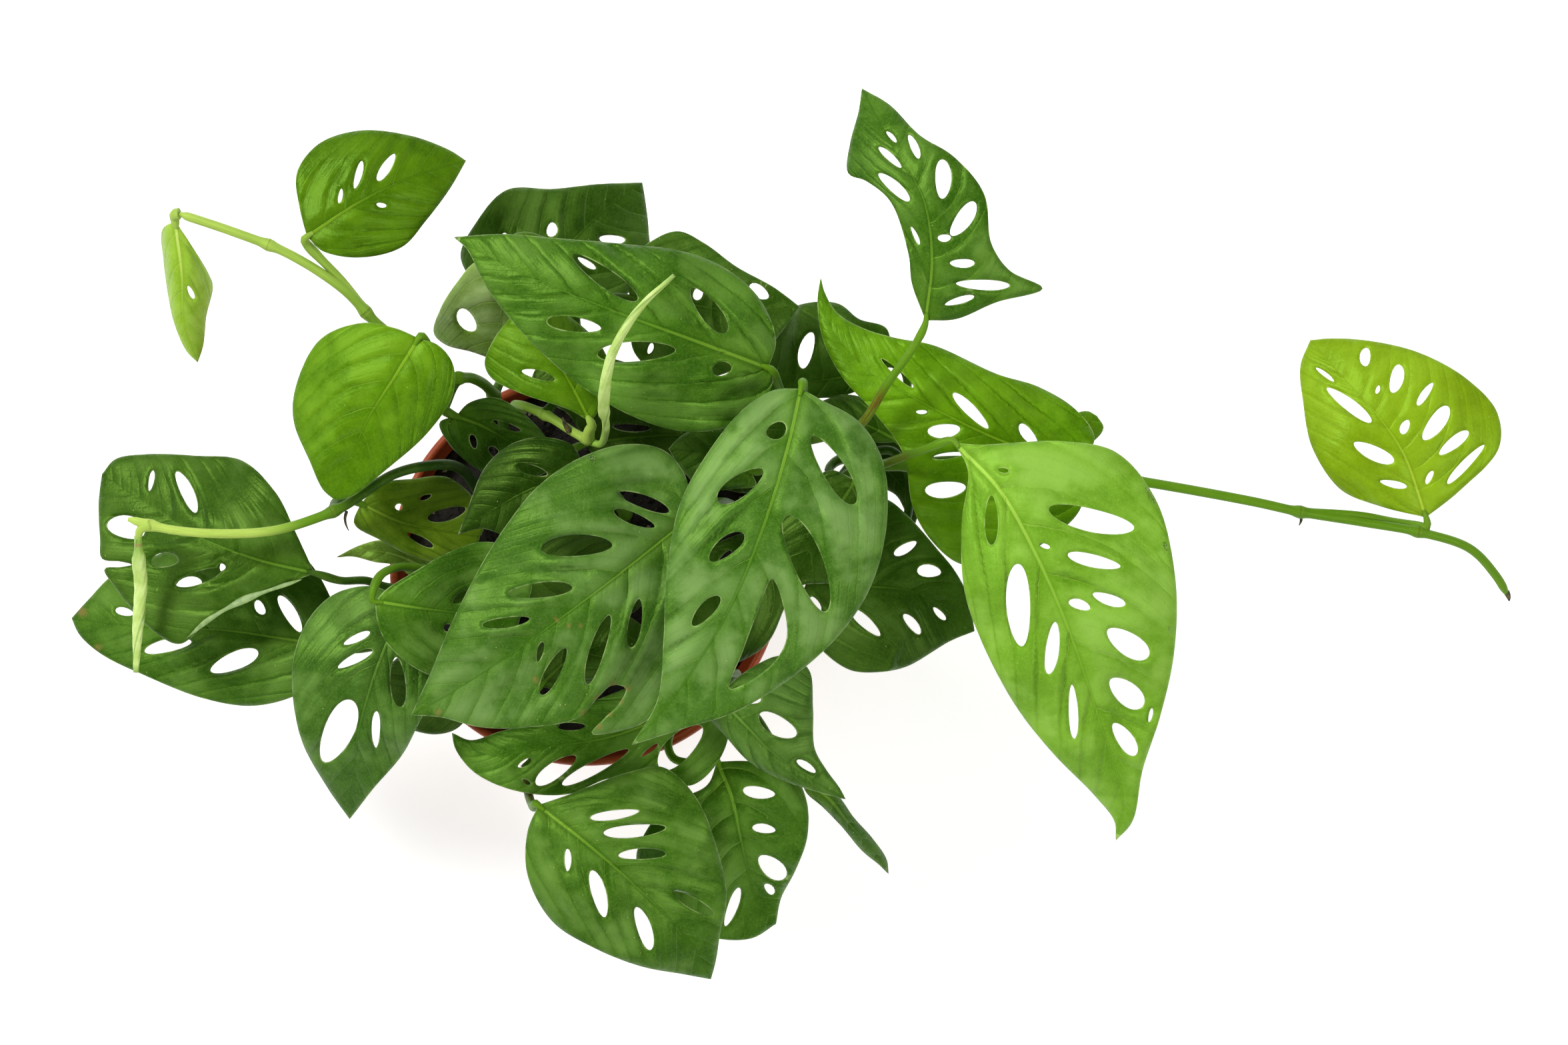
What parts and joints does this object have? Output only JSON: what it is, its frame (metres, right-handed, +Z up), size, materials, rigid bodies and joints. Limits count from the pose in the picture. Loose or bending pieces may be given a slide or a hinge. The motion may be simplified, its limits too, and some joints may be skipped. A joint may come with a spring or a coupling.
{
  "type": "potted monstera adansonii plant",
  "caption": "Potted monstera adansonii house plant: holed, pointed leaves on thin trailing vines growing out of peat soil in a round plastic nursery pot.",
  "frame": {"origin": "centre of the pot's underside, on the surface it stands on", "axes": "+Z up, +X towards the longest trailing vine, +Y away from the viewer who looks at the pot with that vine on the right"},
  "size_m": [0.4401, 0.27, 0.2123],
  "materials": {
    "leaf_green": "satin mid green leaf",
    "leaf_bright": "satin young yellow-green leaf",
    "leaf_dark": "satin dark green leaf",
    "stem_green": "smooth green stem",
    "pot_plastic": "matte terracotta-coloured plastic",
    "soil_peat": "dark damp peat"
  },
  "bodies": {
    "root": {"pot": "pot_plastic", "soil": "soil_peat", "vine_north": "stem_green", "vine_northwest": "stem_green", "vine_centre": "stem_green", "vine_east": "stem_green", "vine_west": "stem_green", "vine_southwest": "stem_green", "vine_south": "stem_green", "vine_southeast": "stem_green", "vine_inner": "stem_green", "north_rolled_leaf": "leaf_bright", "west_rolled_leaf": "leaf_bright", "front_centre_leaf": "leaf_green", "front_left_leaf": "leaf_green", "back_centre_leaf": "leaf_green", "right_big_leaf": "leaf_bright", "right_back_leaf": "leaf_bright", "small_east_leaf": "leaf_bright", "north_east_leaf": "leaf_green", "far_east_leaf": "leaf_bright", "bottom_big_leaf": "leaf_green", "bottom_long_leaf": "leaf_green", "bottom_right_leaf": "leaf_green", "south_fold_leaf": "leaf_green", "south_tail_leaf": "leaf_green", "south_east_leaf": "leaf_dark", "north_mid_leaf": "leaf_dark", "north_east_dark_leaf": "leaf_dark", "dark_east_leaf": "leaf_dark", "centre_east_leaf": "leaf_green", "centre_low_leaf": "leaf_green", "centre_dark_leaf": "leaf_dark", "north_low_leaf": "leaf_dark", "low_centre_leaf": "leaf_dark", "south_west_low_leaf": "leaf_dark", "south_low_leaf": "leaf_dark", "east_gap_leaf": "leaf_dark", "inner_bright_leaf": "leaf_bright", "back_low_leaf": "leaf_dark", "back_left_leaf": "leaf_bright", "left_bright_leaf": "leaf_bright", "north_west_leaf": "leaf_bright", "far_west_leaf": "leaf_bright", "west_upper_leaf": "leaf_dark", "west_lower_leaf": "leaf_green", "south_west_leaf": "leaf_green", "west_inner_leaf": "leaf_green", "mid_left_leaf": "leaf_dark", "pot_west_leaf": "leaf_green", "inner_olive_leaf": "leaf_bright", "inner_pale_leaf": "leaf_green"}
  },
  "joints": []
}
